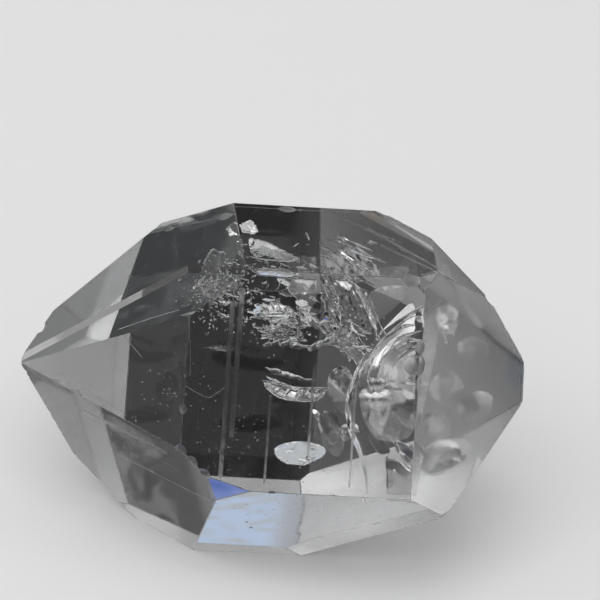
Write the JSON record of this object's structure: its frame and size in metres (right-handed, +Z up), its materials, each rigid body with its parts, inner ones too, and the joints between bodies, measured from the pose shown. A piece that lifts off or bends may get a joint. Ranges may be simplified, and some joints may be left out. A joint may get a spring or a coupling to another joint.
{
  "type": "herkimer diamond quartz crystal",
  "caption": "Clear, squat quartz crystal pointed at both ends, with flat glassy faces, growth ledges and chipped ridges, lying on a prism face.",
  "frame": {"origin": "under the middle of the crystal, in the plane of the prism face that it rests on", "axes": "+X along the long (c) axis towards the blunter point, +Z up, away from the face that it rests on, +Y to the back"},
  "size_m": [0.0278, 0.0174, 0.0178],
  "materials": {
    "clear_quartz": "natural glassy faces, clear, with silvery fractures inside"
  },
  "bodies": {
    "root": {"crystal": "clear_quartz"}
  },
  "joints": []
}
